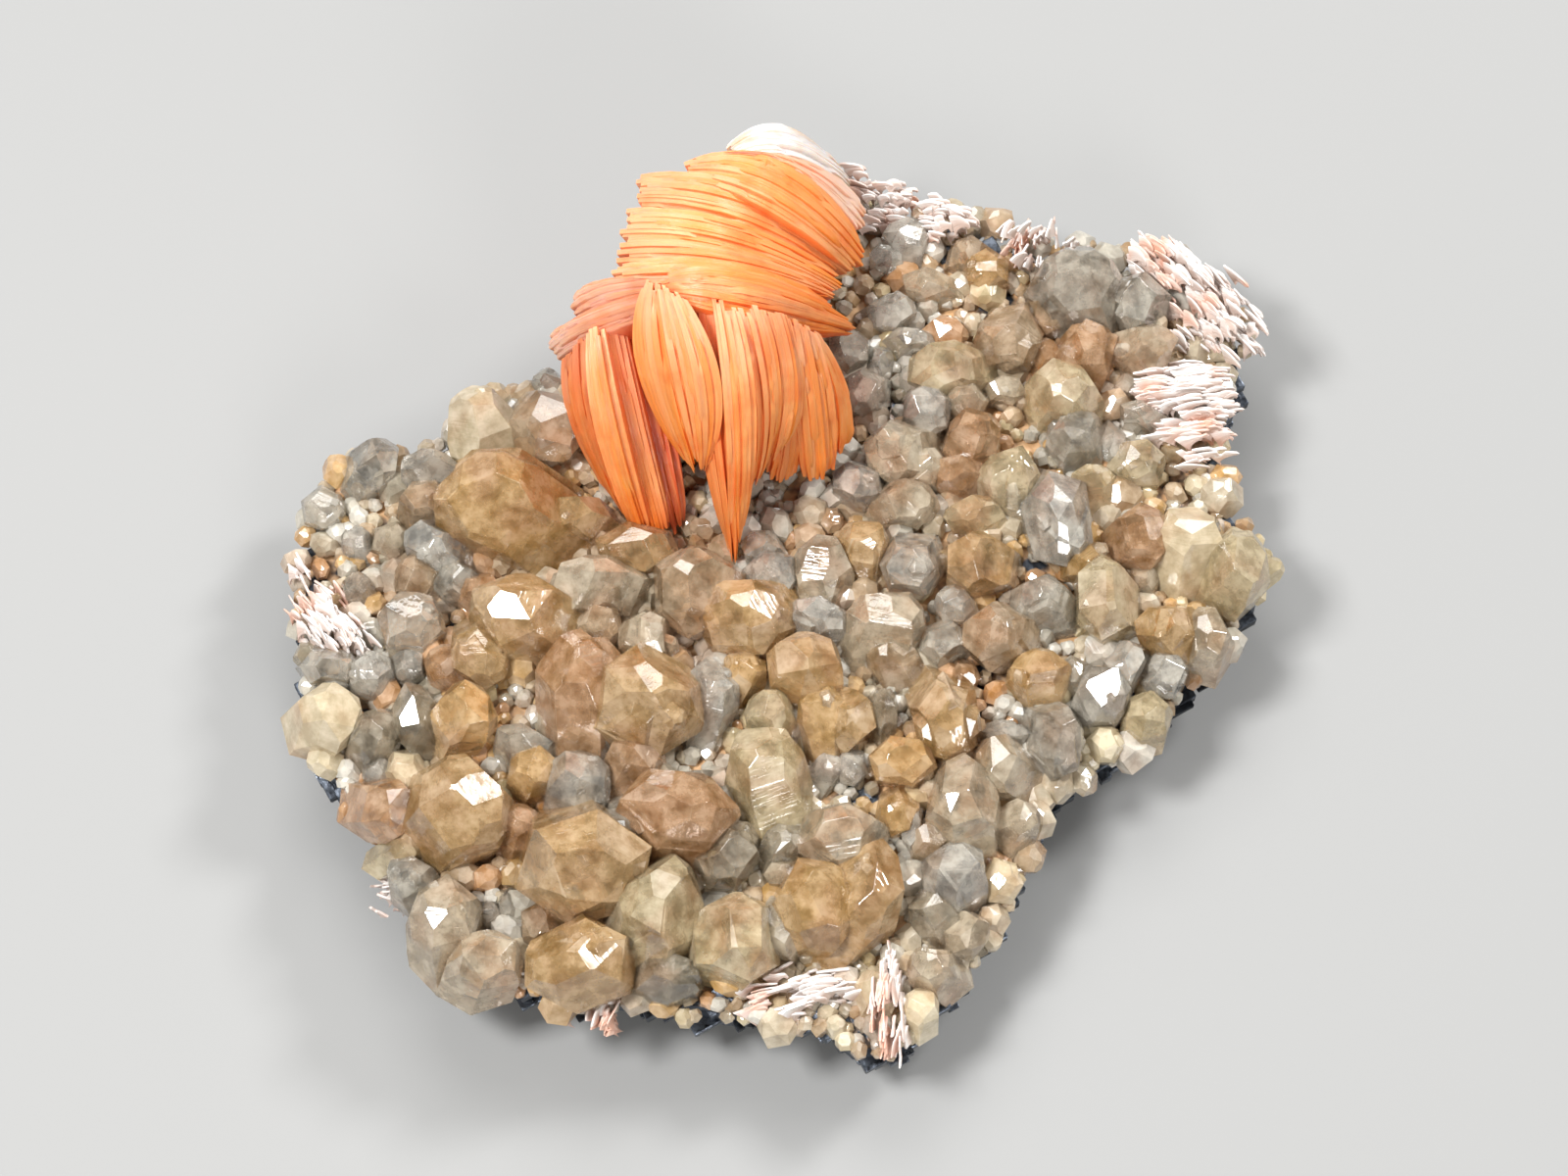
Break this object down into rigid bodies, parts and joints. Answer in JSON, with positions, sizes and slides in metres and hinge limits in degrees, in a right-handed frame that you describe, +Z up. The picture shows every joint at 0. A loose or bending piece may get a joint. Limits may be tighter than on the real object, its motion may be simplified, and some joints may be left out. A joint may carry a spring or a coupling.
{
  "type": "cerussite specimen",
  "caption": "Cabinet specimen of honey and grey cerussite crystals on a galena plate, with a fan of orange bladed barite and pale barite on its edges.",
  "frame": {"origin": "middle of the flat spot on the underside that the plate rests on", "axes": "+Z up out of the crystals, +X to the right and +Y to the back of the specimen as it is shown"},
  "size_m": [0.0916, 0.0882, 0.0361],
  "materials": {
    "cerussite": "translucent honey to grey crystals with an adamantine gloss",
    "galena": "dark blue-grey metallic cleavage faces",
    "orange_barite": "translucent orange blades, whitish pink on their edges",
    "pale_barite": "white to pale pink blades with a pearly gloss"
  },
  "bodies": {
    "root": {"galena_matrix": "galena", "cerussite_druse": "cerussite", "barite_fan_upper": "orange_barite", "barite_fan_lower": "orange_barite", "barite_north_rim": "pale_barite", "barite_north_blades": "pale_barite", "barite_east_bump": "pale_barite", "barite_east_stack": "pale_barite", "barite_south_tip": "pale_barite", "barite_south_blades": "pale_barite", "barite_southwest_blades": "pale_barite", "barite_west_patch": "pale_barite", "barite_southwest_spikes": "pale_barite"}
  },
  "joints": []
}
